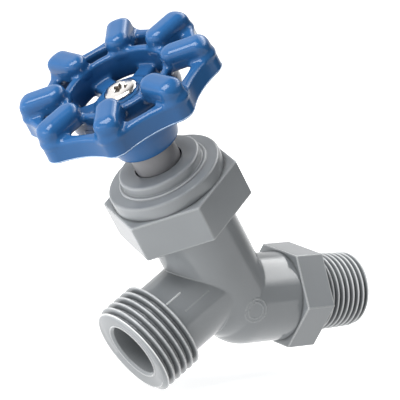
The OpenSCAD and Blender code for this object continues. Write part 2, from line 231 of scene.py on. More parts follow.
def turnedBrass():
    # free-cutting brass, turned: yellow with fine rings from the tool, 0.2 mm apart
    look = {
        "light": "#c9a862", "dark": "#b08f4c", "roughness": 0.28,
        "cloudMm": 2, "cloudDetail": 3.0, "ringMm": 0.2}
    material, shader, place = newMaterial("turnedBrass", look, metallic=1.0)
    clouded(material, shader, place, look)
    axis = (-math.sin(lean), 0, math.cos(lean))
    height = addNode(material, "ShaderNodeVectorMath", {"operation": "DOT_PRODUCT"}, {0: place, 1: axis})
    rings = addNode(material, "ShaderNodeMath", {"operation": "PINGPONG"}, {
        0: height.outputs["Value"], 1: look["ringMm"] / 2 * mm})
    bump = addNode(material, "ShaderNodeBump", {}, {
        "Height": rings.outputs["Value"], "Strength": 0.3, "Distance": 0.02 * mm})
    link(material, bump.outputs["Normal"], shader.inputs["Normal"])
    return material


def mouldedNitrileRubber():
    # black nitrile rubber, compression moulded: matte, dusty on the high spots
    look = {
        "light": "#333333", "dark": "#232323", "ior": 1.52, "roughness": 0.7,
        "cloudMm": 1.5, "cloudDetail": 5.0, "relief": (1.5, 5.0, 0.2, 0.02)}
    material, shader, place = newMaterial("mouldedNitrileRubber", look)
    clouded(material, shader, place, look)
    # the relief has the size of the clouds, so that the dust lies on what stands out
    grained(material, shader, place, look["relief"])
    return material


bodyPlastic = mouldedAcetalGrey()
stemPlastic = mouldedNylonDarkGrey()
wheelEnamel = blueEnamelOnDieCastZinc()
flashHighlightEnamel = enamelPaintedHighlight()
screwPlate = nickelPlatedSteel()
brass = turnedBrass()
rubber = mouldedNitrileRubber()
print("finishes made")


def makePiece(name, points, faces, place, material, body, stands=(), normals=None, sharpAngle=None):
    mesh = bpy.data.meshes.new(name)
    mesh.from_pydata(np.asarray(points, float).tolist(), [], faces)
    mesh.transform(place)
    mesh.polygons.foreach_set("use_smooth", [True] * len(mesh.polygons))
    if sharpAngle:
        mesh.set_sharp_from_angle(angle=math.radians(sharpAngle))
    if normals is not None:
        turned = np.asarray(normals) @ np.array(place.to_3x3().normalized()).T
        mesh.normals_split_custom_set_from_vertices(turned.tolist())
    mesh.materials.append(material)
    mesh.update()
    piece = bpy.data.objects.new(name, mesh)
    bpy.context.scene.collection.objects.link(piece)
    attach(piece, body)
    if stands:
        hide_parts(*stands)
    return piece


def gridFaces(rings, around, closed=True):
    # quads between rings of points, the ring index runs slowest; the first ring joins the last if closed
    faces = []
    for i in range(rings if closed else rings - 1):
        a, b = i * around, (i + 1) % rings * around
        for j in range(around):
            k = (j + 1) % around
            faces.append((a + j, a + k, b + k, b + j))
    return faces


def roundCorners(corners, steps=5):
    # corners are (r, z, fillet radius); each becomes an arc that touches both of its sides
    outline = []
    count = len(corners)
    for i in range(count):
        here = np.array(corners[i][:2], float)
        radius = corners[i][2] if len(corners[i]) > 2 else 0
        before = np.array(corners[i - 1][:2], float) - here
        after = np.array(corners[(i + 1) % count][:2], float) - here
        if radius <= 0:
            outline.append(tuple(here))
            continue
        before /= np.linalg.norm(before)
        after /= np.linalg.norm(after)
        half = math.acos(max(-1, min(1, float(before @ after)))) / 2
        reach = radius / math.tan(half)
        middle = here + (before + after) / np.linalg.norm(before + after) * radius / math.sin(half)
        first = here + before * reach - middle
        last = here + after * reach - middle
        spread = math.atan2(first[0] * last[1] - first[1] * last[0], float(first @ last))
        for step in range(steps + 1):
            angle = spread * step / steps
            outline.append((middle[0] + first[0] * math.cos(angle) - first[1] * math.sin(angle),
                            middle[1] + first[0] * math.sin(angle) + first[1] * math.cos(angle)))
    return outline


def turnedPoints(outline, around, radiusAt=None):
    # rings of a turned form; radiusAt(radius, height, angles) may change each ring, as a thread does
    angles = np.arange(around) * turn / around
    points = []
    for radius, height in outline:
        r = np.full(around, float(radius)) if radiusAt is None else radiusAt(radius, height, angles)
        points.append(np.stack([r * np.cos(angles), r * np.sin(angles), np.full(around, float(height))], 1))
    return np.concatenate(points)


def outwards(points, faces):
    # turns the faces so that they look out of the closed form
    corner = np.asarray(points)
    quads = np.asarray(faces)
    a, b, c, d = (corner[quads[:, i]] for i in range(4))
    volume = np.einsum("ij,ij->i", a, np.cross(b, c)).sum() + np.einsum("ij,ij->i", a, np.cross(c, d)).sum()
    return [tuple(q[::-1]) for q in faces] if volume < 0 else faces


def turnedPiece(name, corners, place, material, body, stands=(), around=192, steps=5, sharpAngle=32):
    outline = roundCorners(corners, steps)
    points = turnedPoints(outline, around)
    faces = outwards(points, gridFaces(len(outline), around))
    return makePiece(name, points, faces, place, material, body, stands, sharpAngle=sharpAngle)


def blendIn(a, b, fillet):
    # joins two distance fields with a fillet
    h = np.maximum(fillet - np.abs(a - b), 0) / fillet
    return np.minimum(a, b) - h * h * fillet / 4


def common(a, b, edge):
    return -blendIn(-a, -b, edge)


def cutOut(a, b, edge):
    return -blendIn(-a, b, edge)


def roundedSlab(plan, z, low, high, edge):
    # a flat shape of that plan between two heights, with rounded edges
    a = plan + edge
    b = np.abs(z - (low + high) / 2) - (high - low) / 2 + edge
    return np.minimum(np.maximum(a, b), 0) + np.hypot(np.maximum(a, 0), np.maximum(b, 0)) - edge


def rod(radial, along, low, high, radius):
    return np.maximum(radial - radius, np.maximum(low - along, along - high))


def skin(field, low, high, step):
    # one vertex in each cell that the surface crosses, then moved onto the surface itself
    axes = [np.arange(low[i], high[i] + step, step) for i in range(3)]
    value = field(*np.meshgrid(*axes, indexing="ij", sparse=True))
    inside = value < 0
    size = [n - 1 for n in inside.shape]
    filled = np.zeros(size, np.uint8)
    for i, j, k in product((0, 1), repeat=3):
        filled += inside[i:i + size[0], j:j + size[1], k:k + size[2]]
    crossed = (filled > 0) & (filled < 8)
    cell = np.argwhere(crossed)
    index = np.full(size, -1, np.int64)
    index[crossed] = np.arange(len(cell))
    total = np.zeros((len(cell), 3))
    hits = np.zeros(len(cell))
    for axis in range(3):
        others = [n for n in range(3) if n != axis]
        for shift in product((0, 1), repeat=2):
            start = np.zeros(3, int)
            start[others] = shift
            end = start.copy()
            end[axis] = 1
            first = value[tuple((cell + start).T)]
            second = value[tuple((cell + end).T)]
            cut = (first < 0) != (second < 0)
            share = first[cut] / (first[cut] - second[cut])
            total[cut] += start + share[:, None] * (end - start)
            hits[cut] += 1
    points = np.array(low) + (cell + total / hits[:, None]) * step

    def slope(at):
        nudge = 0.02
        ways = nudge * np.eye(3)
        return np.stack([(field(*(at + way).T) - field(*(at - way).T)) / (2 * nudge) for way in ways], 1)

    for _ in range(4):
        gradient = slope(points)
        move = (field(*points.T) / np.maximum((gradient ** 2).sum(1), 0.2))[:, None] * gradient
        points -= np.clip(move, -step / 2, step / 2)
    normals = slope(points)
    normals /= np.maximum(np.linalg.norm(normals, axis=1), 1e-6)[:, None]
    faces = []
    for axis in range(3):
        across, up = (axis + 1) % 3, (axis + 2) % 3
        first = [slice(1, -1)] * 3
        second = [slice(1, -1)] * 3
        first[axis], second[axis] = slice(0, -1), slice(1, None)
        a, b = inside[tuple(first)], inside[tuple(second)]
        place = np.argwhere(a != b)
        outward = a[tuple(place.T)]
        corners = []
        for da, du in ((0, 0), (1, 0), (1, 1), (0, 1)):
            at = place.copy()
            at[:, across] += da
            at[:, up] += du
            corners.append(index[tuple(at.T)])
        quads = np.stack(corners, 1)
        quads[~outward] = quads[~outward][:, ::-1]
        faces.append(quads)
    return points, np.concatenate(faces).tolist(), normals


# valve body: one moulding, made as three close-fitting skins and a hexagon

bodySizes = {
    "neckRadius": 12.3,
    "neckEnd": -20,
    "elbowShift": 3.3,
    "barrelRadius": 12.0,
    "barrelTop": 37.5,
    "barrelBase": 2.5,
    "chamberRadius": 8.6,
    "guideHole": 9.7,
    "guideFloor": 22.7,
    "tubeRadius": 11.2,
    "tubeEnd": 22,
    "outletBore": 7.65,
    "port": 5.2,
    "portTurn": -4.6,
    "portEnd": -23.2,
    "seatWall": 1.2,
    "seatHeight": 1.0,
    "crease": 0.25,
    "boreEdge": 0.3,
    "pinMark": (-41.5, 0.0),
    "pinMarkRadii": (2.3, 3.3),
    "pinMarkWidth": 0.16,
    "pinMarkDepth": 0.12,
}


def stemCoordinates(x, z):
    along = x + layout["stemReach"]
    return along * math.cos(lean) + z * math.sin(lean), -along * math.sin(lean) + z * math.cos(lean)


def segment(x, y, z, first, last, radius):
    # round passage with round ends
    way = np.array(last, float) - np.array(first, float)
    share = ((x - first[0]) * way[0] + (y - first[1]) * way[1] + (z - first[2]) * way[2]) / float(way @ way)
    share = np.clip(share, 0, 1)
    return np.sqrt((x - first[0] - share * way[0]) ** 2 + (y - first[1] - share * way[1]) ** 2
                   + (z - first[2] - share * way[2]) ** 2) - radius


def bodyField(x, y, z):
    b = bodySizes
    lx, lz = stemCoordinates(x, z)
    elbow = -layout["stemReach"] + b["elbowShift"]
    around = np.hypot(y, z)
    neck = rod(around, x, elbow, b["neckEnd"], b["neckRadius"])
    neck = np.minimum(neck, np.sqrt((x - elbow) ** 2 + y ** 2 + z ** 2) - b["neckRadius"])
    stemwise = np.hypot(lx, y)
    barrel = rod(stemwise, lz, b["barrelBase"], b["barrelTop"], b["barrelRadius"])
    barrel = np.minimum(barrel, np.sqrt(lx ** 2 + y ** 2 + (lz - b["barrelBase"]) ** 2) - b["barrelRadius"])
    height = lz - layout["outletHeight"]
    tubewise = np.hypot(y, height)
    tube = rod(tubewise, -lx, 0, b["tubeEnd"], b["tubeRadius"])
    # two faint rings left by an ejector pin on the near side of the elbow
    fromPin = np.hypot(x - b["pinMark"][0], z - b["pinMark"][1])
    marks = sum(np.exp(-((fromPin - size) / b["pinMarkWidth"]) ** 2) for size in b["pinMarkRadii"])
    solid = blendIn(blendIn(neck, barrel, b["crease"]), tube, b["crease"])
    solid = solid - b["pinMarkDepth"] * marks * (y < -5)
    # waterway: chamber, room for the guide, outlet and the port that turns up through the seat
    turnX = -layout["stemReach"] - b["portTurn"] * math.sin(lean)
    turnZ = b["portTurn"] * math.cos(lean)
    way = rod(stemwise, lz, 0, 60, b["chamberRadius"])
    way = np.minimum(way, rod(stemwise, lz, b["guideFloor"], 60, b["guideHole"]))
    way = np.minimum(way, rod(tubewise, -lx, 0, 40, b["outletBore"]))
    way = np.minimum(way, rod(stemwise, lz, b["portTurn"], 5, b["port"]))
    way = np.minimum(way, segment(x, y, z, (turnX, 0, turnZ), (b["portEnd"], 0, 0), b["port"]))
    wall, rise = b["seatWall"] / 2, b["seatHeight"] / 2
    seat = np.maximum(np.abs(stemwise - b["port"] - wall) - wall, np.abs(lz - rise) - rise)
    return np.minimum(cutOut(solid, way, b["boreEdge"]), seat)


gridStep = 0.33
points, faces, normals = skin(bodyField, (-73.2, -13.1, -15.8), (-19.2, 13.1, 38.2), gridStep)
bodyCasting = makePiece("bodyCasting", points, faces, inMillimetres, bodyPlastic,
                        "body", ("valve_body",), normals)
print("body casting:", len(faces), "faces")


# two fine beads on the tube where the halves of the mould met

seams = {
    "seamBead": {"turn": 38.2, "from": 15.0, "to": 20.3, "radius": 0.3, "height": 0.2},
    "faintSeamBead": {"turn": 62, "from": 8.5, "to": 18.0, "radius": 0.7, "height": 0.045},
}
for name, sizes in seams.items():
    out = bodySizes["tubeRadius"] + sizes["height"] - sizes["radius"]
    side = math.radians(sizes["turn"])
    place = outletPlace @ Matrix.Translation((out * math.cos(side), -out * math.sin(side), 0))
    bead = turnedPiece(name, [
        (0.01, sizes["from"]), (sizes["radius"], sizes["from"], sizes["radius"] * 0.7),
        (sizes["radius"], sizes["to"], sizes["radius"] * 0.7), (0.01, sizes["to"])],
        place, bodyPlastic, "body", ("valve_body",), around=24, sharpAngle=60)


hoseThread = {
    "pitch": 2.209,
    "crestRadius": 13.45,
    "rootRadius": 12.0,
    "length": 12.6,
    "firstCrest": 32.45,
    "startAngle": -60,
    "fadeRadius": 11.0,
    "fadeLength": 0.5,
    "faceRadius": 12.4,
    "leadSlope": 1.1,
    "bore": 7.66,
    "mouthRadius": 8.65,
    "mouthDepth": 1.0,
    "backRadius": 10.9,
    "backDepth": 12.8,
    "rings": 150,
    "around": 288,
}
pipeThread = {
    "pitch": 1.814,
    "crestRadius": 10.36,
    "firstCrest": 1.2,
    "depth": 1.3,
    "taper": 1 / 32,
    "length": 16.6,
    "chamfer": 1.0,
    "leadSlope": 1.05,
    "bore": 6.2,
    "mouthRadius": 6.9,
    "mouthDepth": 0.7,
    "backRadius": 9.0,
    "backDepth": 17.2,
    "rings": 210,
    "around": 288,
}


def crestShape(phase, flat, root):
    # 1 on the crest and 0 in the root, with straight flanks
    away = np.abs(phase - np.round(phase)) * 2
    share = np.clip((1 - root - away) / (1 - root - flat), 0, 1)
    return share * share * (3 - 2 * share) * 0.25 + share * 0.75


def hoseRadius(radius, height, angles):
    t = hoseThread
    phase = (height - t["firstCrest"]) / t["pitch"] - (angles - math.radians(t["startAngle"])) / turn
    form = t["rootRadius"] + (t["crestRadius"] - t["rootRadius"]) * crestShape(phase, 0.16, 0.2)
    # the thread fades out over its last half millimetre by the tube
    fade = np.clip((height - (layout["outletReach"] - t["length"])) / t["fadeLength"], 0, 1)
    form = t["fadeRadius"] + (form - t["fadeRadius"]) * fade
    lead = t["faceRadius"] + (layout["outletReach"] - height) * t["leadSlope"]
    return np.minimum(form, lead)


def pipeRadius(radius, height, angles):
    t = pipeThread
    phase = (height - t["firstCrest"]) / t["pitch"] - angles / turn
    crest = t["crestRadius"] + height * t["taper"]
    form = crest - t["depth"] * (1 - crestShape(phase, 0.06, 0.1))
    lead = t["crestRadius"] - t["chamfer"] + height * t["leadSlope"]
    return np.minimum(form, lead)


def threadedPiece(name, sizes, end, inwards, fillets, radiusAt, place, stands):
    # one closed grid: bore and end face from corners, then the thread ring by ring
    s = sizes
    around = s["around"]
    back, mouth = end + inwards * s["backDepth"], end + inwards * s["mouthDepth"]
    inner = turnedPoints(roundCorners([
        (s["backRadius"], back, 0), (s["bore"], back, 0),
        (s["bore"], mouth, fillets[0]), (s["mouthRadius"], end, fillets[1])], 4), around)
    threadOutline = [(0, end + inwards * h) for h in np.linspace(0, s["length"], s["rings"])]
    outer = turnedPoints(threadOutline, around, radiusAt)
    points = np.concatenate([inner, outer])
    faces = outwards(points, gridFaces(len(points) // around, around))
    piece = makePiece(name, points, faces, place, bodyPlastic, "body", stands, sharpAngle=50)


threadedPiece("outletThread", hoseThread, layout["outletReach"], -1, (0.3, 0.25),
              hoseRadius, outletPlace, ("valve_body",))
threadedPiece("inletThread", pipeThread, 0, 1, (0.3, 0.2), pipeRadius, inletPlace, ("valve_body",))
print("threads cut")


def hexagonRing(apothem, cornerRadius, twist):
    # a hexagon with rounded corners, 4 steps round each corner and 8 along each side
    ring = []
    for i in range(6):
        towards = twist + i * turn / 6
        middle = (apothem - cornerRadius) / math.cos(math.radians(30))
        for step in range(5):
            angle = towards + math.radians(-30 + 15 * step)
            ring.append((middle * math.cos(towards) + cornerRadius * math.cos(angle),
                         middle * math.sin(towards) + cornerRadius * math.sin(angle)))
        last = ring[-1]
        nextCentre = towards + turn / 6
        angle = nextCentre - math.radians(30)
        first = (middle * math.cos(nextCentre) + cornerRadius * math.cos(angle),
                 middle * math.sin(nextCentre) + cornerRadius * math.sin(angle))
        for step in range(1, 8):
            ring.append(tuple(last[n] + (first[n] - last[n]) * step / 8 for n in range(2)))
    return np.array(ring)


def hexagonPiece(name, sizes, place, stands):
    # six-sided bar with a round hole, its edges rounded as the mould leaves them
    low, high, edge = sizes["low"], sizes["high"], sizes["edge"]
    twist = math.radians(sizes["twist"])
    apothem = sizes["acrossFlats"] / 2
    rings = []
    for step in range(5):
        angle = math.radians(22.5 * step)
        rings.append((edge * (1 - math.sin(angle)), low + edge * (1 - math.cos(angle))))
    rings += [(inset, low + high - height) for inset, height in rings[::-1]]
    outline = []
    for inset, height in rings:
        ring = hexagonRing(apothem - inset, sizes["corner"], twist)
        outline.append(np.column_stack([ring, np.full(len(ring), height)]))
    angles = np.arctan2(outline[0][:, 1], outline[0][:, 0])
    hole = sizes["bore"] * np.column_stack([np.cos(angles), np.sin(angles)])
    for height in (high, low):
        outline.append(np.column_stack([hole, np.full(len(hole), height)]))
    points = np.concatenate(outline)
    faces = outwards(points, gridFaces(len(outline), len(hole)))
    piece = makePiece(name, points, faces, place, bodyPlastic, "body", stands)
    even = piece.modifiers.new("evenFaces", "WEIGHTED_NORMAL")
    even.weight = 100
    return piece


inletHexagonSizes = {
    "low": 16.6,
    "high": 25.8,
    "acrossFlats": 26.0,
    "bore": 6.2,
    "corner": 0.35,
    "edge": 0.25,
    "twist": 30,
}
inletHexagon = hexagonPiece("inletHexagon", inletHexagonSizes, inletPlace, ("valve_body",))


# bonnet nut: a hexagon and a stepped round top, one moulding

nutHexagonSizes = {
    "low": 30.5,
    "high": 41.6,
    "acrossFlats": 33.4,
    "bore": 12.1,
    "corner": 0.8,
    "edge": 0.45,
    "twist": 16.5,
}
nutCapSizes = {
    "foot": 41.2,
    "discRadius": 15.9,
    "discTop": 45.5,
    "collarRadius": 12.5,
    "collarHeight": 0.6,
    "bossRadius": 11.5,
    "bossTop": 48.8,
    "hole": 6.65,
    "packingRoom": 9.4,
    "packingTop": 45.7,
    "edge": 0.7,
}
nutHexagon = hexagonPiece("nutHexagon", nutHexagonSizes, stemPlace, ("bonnet_nut",))
n = nutCapSizes
nutCap = turnedPiece("nutCap", [
    (n["discRadius"], n["foot"], 0), (n["discRadius"], n["discTop"], n["edge"]),
    (n["collarRadius"], n["discTop"], 0.2), (n["collarRadius"], n["discTop"] + n["collarHeight"], 0.3),
    (n["bossRadius"], n["discTop"] + n["collarHeight"], 0.25), (n["bossRadius"], n["bossTop"], n["edge"]),
    (n["hole"], n["bossTop"], 0.35), (n["hole"], n["packingTop"], 0),
    (n["packingRoom"], n["packingTop"], 0), (n["packingRoom"], n["foot"], 0)],
    stemPlace, bodyPlastic, "body", ("bonnet_nut",))
print("bonnet nut made")


# stem: plain shank with the drive thread below, one moulding

stemSizes = {
    "foot": 6.5,
    "footRadius": 6.0,
    "threadLow": 13.7,
    "threadHigh": 30.7,
    "threadRadius": 7.6,
    "rootRadius": 6.2,
    "pitch": 2.4,
    "shankRadius": 6.35,
    "shankTop": 57.5,
    "driveRadius": 3.9,
    "driveTop": 66.0,
    "snapRadius": 3.05,
    "snapTop": 11.4,
    "screwRadius": 2.45,
    "screwFloor": 58.0,
    "threadEnds": 0.8,
    "rings": 140,
    "around": 144,
}


def stemRadius(radius, height, angles):
    t = stemSizes
    if not t["threadLow"] <= height <= t["threadHigh"]:
        return np.full(len(angles), float(radius))
    phase = height / t["pitch"] - angles / turn
    ends = min(height - t["threadLow"], t["threadHigh"] - height) / t["threadEnds"]
    depth = (t["threadRadius"] - t["rootRadius"]) * min(1, ends)
    return t["rootRadius"] + depth * crestShape(phase, 0.3, 0.3)


t = stemSizes
stemCorners = roundCorners([
    (t["snapRadius"], t["foot"], 0.1), (t["footRadius"], t["foot"], 0.4),
    (t["footRadius"], t["threadLow"] - 0.1, 0)], 4)
stemCorners += [(0, h) for h in np.linspace(t["threadLow"], t["threadHigh"], t["rings"])]
stemCorners += roundCorners([
    (t["shankRadius"], t["threadHigh"] + 0.05, 0), (t["shankRadius"], t["shankTop"], 0.4),
    (t["driveRadius"], t["shankTop"], 0.2), (t["driveRadius"], t["driveTop"], 0.3),
    (t["screwRadius"], t["driveTop"], 0), (t["screwRadius"], t["screwFloor"], 0),
    (0.01, t["screwFloor"], 0), (0.01, t["snapTop"], 0), (t["snapRadius"], t["snapTop"], 0)], 4)
points = turnedPoints(stemCorners, t["around"], stemRadius)
faces = outwards(points, gridFaces(len(stemCorners), t["around"]))
stemPiece = makePiece("threadedStem", points, faces, stemPlace, stemPlastic,
                      "spindle", ("stem",), sharpAngle=40)
print("stem made")


# handwheel: one die casting under enamel, eight lobes, each with a raised finger

wheel = {
    "turn": 2.8,
    "lobes": 8,
    "rimFoot": 69.2,
    "rimTop": 75.2,
    "rimInner": 21.1,
    "rimEdge": 1.25,
    "rimEdgeFrom": 2.5,
    "footEdge": 0.6,
    "hollowRound": 23.2,
    "tipRadius": 27.2,
    "lobeRound": 4.2,
    "fingerWidth": 7.3,
    "fingerRound": 3.5,
    "draft": 0.055,
    "fingerTop": 80.2,
    "fingerFoot": 74.2,
    "fingerEdge": 2.7,
    "fingerEdgeFrom": 2.2,
    "fingerFillet": 1.3,
    "tipEdge": 4.2,
    "ringInner": 13.3,
    "ringWall": 2.3,
    "ringFoot": 68.2,
    "ringTop": 76.0,
    "ringEdge": 0.9,
    "ringFillet": 1.1,
    "webs": 6,
    "webTurn": 20.8,
    "webWidth": 5.5,
    "webTop": 70.8,
    "webReach": (5.5, 14.8),
    "webUnder": ((9.6, 62.1), (14.45, 68.2)),
    "webFillet": 1.3,
    "hubFoot": 55.1,
    "hubTop": 71.4,
    "hubLower": ((8.7, 55.1), (10.6, 62.1)),
    "hubUpper": ((10.6, 62.1), (7.6, 70.8)),
    "hubWaist": 1.6,
    "hubEdge": 0.8,
    "hubFillet": 1.5,
    "bore": 6.65,
    "boreTop": 57.8,
    "flashRadius": 0.13,
    "flashHeight": 0.55,
    "flashSides": 8,
    "flashAround": 720,
}


def coneSide(radius, z, side):
    # distance outside a sloping side that runs up through two points
    (r0, z0), (r1, z1) = side
    return ((radius - r0) * (z1 - z0) - (z - z0) * (r1 - r0)) / math.hypot(r1 - r0, z1 - z0)


def rimArcs():
    # angle from lobe to lobe, and how far from the middle the arcs of a lobe and of a hollow are centred
    sector = turn / wheel["lobes"]
    lobeCentre = wheel["tipRadius"] - wheel["lobeRound"]
    aside = lobeCentre * math.sin(sector / 2)
    both = wheel["lobeRound"] + wheel["hollowRound"]
    return sector, lobeCentre, lobeCentre * math.cos(sector / 2) + math.sqrt(both ** 2 - aside ** 2)


def wheelField(x, y, z):
    w = wheel
    sector, lobeCentre, hollow = rimArcs()
    rho = np.hypot(x, y)
    angle = (np.arctan2(y, x) - math.radians(w["turn"]) + sector / 2) % sector - sector / 2
    px = rho * np.cos(angle)
    py = np.abs(rho * np.sin(angle))
    # scalloped outline: an arc round each lobe and a hollow arc between two lobes, tangent to it
    hx, hy = hollow * math.cos(sector / 2), hollow * math.sin(sector / 2)
    lobe = np.hypot(px - lobeCentre, py) - w["lobeRound"]
    valley = w["hollowRound"] - np.hypot(px - hx, py - hy)
    outline = np.where((px - lobeCentre) * hy - py * (hx - lobeCentre) > 0, lobe, valley)
    rimPlan = common(outline, w["rimInner"] - rho, 0.4)
    edge = np.where(z > w["rimFoot"] + w["rimEdgeFrom"], w["rimEdge"], w["footEdge"])
    rim = roundedSlab(rimPlan, z, w["rimFoot"], w["rimTop"], edge)
    half = w["ringWall"] / 2
    ringPlan = np.abs(rho - w["ringInner"] - half) - half
    ring = roundedSlab(ringPlan, z, w["ringFoot"], w["ringTop"], w["ringEdge"])
    # fingers, a little narrower at the crown so that they leave the die
    wide = w["fingerWidth"] / 2 - w["draft"] * (z - w["fingerFoot"])
    middle = (w["ringInner"] + w["tipRadius"]) / 2 + 0.1
    reach = (w["tipRadius"] - w["ringInner"]) / 2 - 0.1
    ax = np.abs(px - middle) - reach + w["fingerRound"]
    ay = py - wide + w["fingerRound"]
    plan = np.minimum(np.maximum(ax, ay), 0) + np.hypot(np.maximum(ax, 0), np.maximum(ay, 0))
    edge = np.where(z > w["fingerFoot"] + w["fingerEdgeFrom"], w["fingerEdge"], w["footEdge"])
    finger = roundedSlab(plan - w["fingerRound"], z, w["fingerFoot"], w["fingerTop"], edge)
    tips = roundedSlab(rho - w["tipRadius"], z, 40, w["fingerTop"], w["tipEdge"])
    finger = common(finger, tips, 1.2)
    # hub, a double cone
    hub = common(coneSide(rho, z, w["hubLower"]), coneSide(rho, z, w["hubUpper"]), w["hubWaist"])
    hub = common(common(hub, w["hubFoot"] - z, w["hubEdge"]), z - w["hubTop"], w["hubEdge"])
    # webs from the hub to the ring
    webStep = turn / w["webs"]
    apart = (np.arctan2(y, x) - math.radians(w["webTurn"]) + webStep / 2) % webStep - webStep / 2
    wx = rho * np.cos(apart)
    wy = np.abs(rho * np.sin(apart))
    web = common(wy - w["webWidth"] / 2, z - w["webTop"], 1.2)
    web = common(web, coneSide(wx, z, w["webUnder"]), 1.0)
    web = np.maximum(web, np.maximum(wx - w["webReach"][1], w["webReach"][0] - wx))
    body = blendIn(rim, finger, w["fingerFillet"])
    body = blendIn(body, ring, w["ringFillet"])
    body = blendIn(body, web, w["webFillet"])
    body = blendIn(body, hub, w["hubFillet"])
    return cutOut(body, rod(rho, z, 50, w["boreTop"], w["bore"]), 0.4)


gridStep = 0.3
points, faces, normals = skin(wheelField, (-27.9, -27.9, 54.5), (27.9, 27.9, 80.9), gridStep)
wheelCasting = makePiece("wheelCasting", points, faces, stemPlace, wheelEnamel,
                         "spindle", ("handwheel",), normals)
print("handwheel:", len(faces), "faces")


def rimRadius(angles):
    # outline of the rim by angle: the lobe arc near a lobe, the hollow arc between two
    w = wheel
    sector, lobeCentre, hollow = rimArcs()
    away = np.abs((angles + sector / 2) % sector - sector / 2)
    share = w["lobeRound"] / (w["lobeRound"] + w["hollowRound"])
    touch = math.atan2(hollow * math.sin(sector / 2) * share,
                       lobeCentre + (hollow * math.cos(sector / 2) - lobeCentre) * share)
    chord = np.sqrt(np.maximum(w["lobeRound"] ** 2 - (lobeCentre * np.sin(away)) ** 2, 0))
    lobe = lobeCentre * np.cos(away) + chord
    off = sector / 2 - away
    valley = hollow * np.cos(off) - np.sqrt(w["hollowRound"] ** 2 - (hollow * np.sin(off)) ** 2)
    return np.where(away < touch, lobe, valley)


# thin flash all round the lower edge of the rim, where the halves of the die met
sides, around = wheel["flashSides"], wheel["flashAround"]
angles = np.arange(around) * turn / around
outline = rimRadius(angles)
turned = angles + math.radians(wheel["turn"])
rings = []
for step in range(sides):
    side = step * turn / sides
    r = outline + wheel["flashRadius"] * math.cos(side)
    height = wheel["rimFoot"] + wheel["flashHeight"] + wheel["flashRadius"] * math.sin(side)
    rings.append(np.stack([r * np.cos(turned), r * np.sin(turned), np.full(around, height)], 1))
points = np.concatenate(rings)
faces = outwards(points, gridFaces(sides, around))
# the flash's pale enamel is a painted highlight
flash = makePiece("wheelFlash", points, faces, stemPlace, flashHighlightEnamel, "spindle", ("handwheel",))


# handwheel screw: pan head with a cross recess

screwSizes = {
    "seat": 71.4,
    "headRadius": 4.7,
    "headHeight": 2.4,
    "headEdge": 1.5,
    "footEdge": 0.3,
    "crown": 16.0,
    "recessReach": 2.4,
    "recessWidth": 0.8,
    "recessDepth": 1.7,
    "recessTaper": 0.75,
    "recessDraft": 0.12,
    "recessTurn": 30,
    "shankRadius": 2.4,
    "length": 10.5,
}


def screwField(x, y, z):
    w = screwSizes
    rho = np.hypot(x, y)
    top = w["seat"] + w["headHeight"]
    edge = np.where(z > w["seat"] + 1, w["headEdge"], w["footEdge"])
    head = roundedSlab(rho - w["headRadius"], z, w["seat"] - 0.4, top, edge)
    crown = np.sqrt(rho ** 2 + (z - top + w["crown"]) ** 2) - w["crown"]
    head = common(head, crown, 0.5)
    shank = rod(rho, z, w["seat"] - w["length"], w["seat"], w["shankRadius"])
    solid = blendIn(head, shank, 0.2)
    angle = math.radians(w["recessTurn"])
    a = np.abs(x * math.cos(angle) + y * math.sin(angle))
    b = np.abs(y * math.cos(angle) - x * math.sin(angle))
    sunk = top - z
    reach = w["recessReach"] - w["recessTaper"] * sunk
    width = w["recessWidth"] - w["recessDraft"] * sunk
    first = np.maximum(a - reach, b - width)
    second = np.maximum(b - reach, a - width)
    cross = np.maximum(blendIn(first, second, 0.35), sunk - w["recessDepth"])
    return cutOut(solid, cross, 0.18)


gridStep = 0.12
points, faces, normals = skin(screwField, (-5.1, -5.1, 60.5), (5.1, 5.1, 74.2), gridStep)
wheelScrew = makePiece("crossRecessScrew", points, faces, stemPlace, screwPlate,
                       "spindle", ("handwheel_screw",), normals)
print("screw:", len(faces), "faces")


# inner pieces keep their own solids and get the finish of the real ones

innerFinishes = {
    "stem_guide": bodyPlastic,
    "guide_gasket": rubber,
    "packing_washer": brass,
    "stem_packing": rubber,
    "washer_holder": brass,
    "seat_washer": rubber,
    "seat_washer_screw": brass,
}
for name, material in innerFinishes.items():
    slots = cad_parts[name].material_slots
    if not slots:
        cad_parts[name].data.materials.append(material)
    for place in slots:
        place.material = material


# floor, light and camera

studio = {
    "floorRadius": 6.0,
    "floorRoughness": 0.8,
    "floorColour": "#f2f3f4",
    "floorGrain": (2, 2.0, 0.05, 0.02),
    "floorSeen": 0.78,
    "fadesFrom": (0.4, 1.6),
    "floorMirrored": 1.35,
    "floorGlow": (2.0, 0.3),
    "glowAcross": (-0.6, 0.35),
    "poolAt": (-0.19, 0.05, 0.0),
    "poolEdge": (0.08, 0.16),
    "poolGlow": 2.8,
    "darkSide": 0.1,
    "sweepMirrored": 1.05,
    "middle": (-0.05, 0, 0.03),
}
# ramps of brightness in the room: axis, where each starts and ends, and its values there
roomRamps = {
    "behind": ("Y", 0.0, 0.35, 0.0, 1.0),
    "below": ("Z", 0.74, 0.9, 1.0, 0.0),
    "leftSide": ("X", -0.75, -0.35, 0.2, 0.0),
    "rightCard": ("X", 0.16, 0.36, 0.0, 3.0),
    "cardFoot": ("Z", 0.5, 0.62, 0.0, 1.0),
}
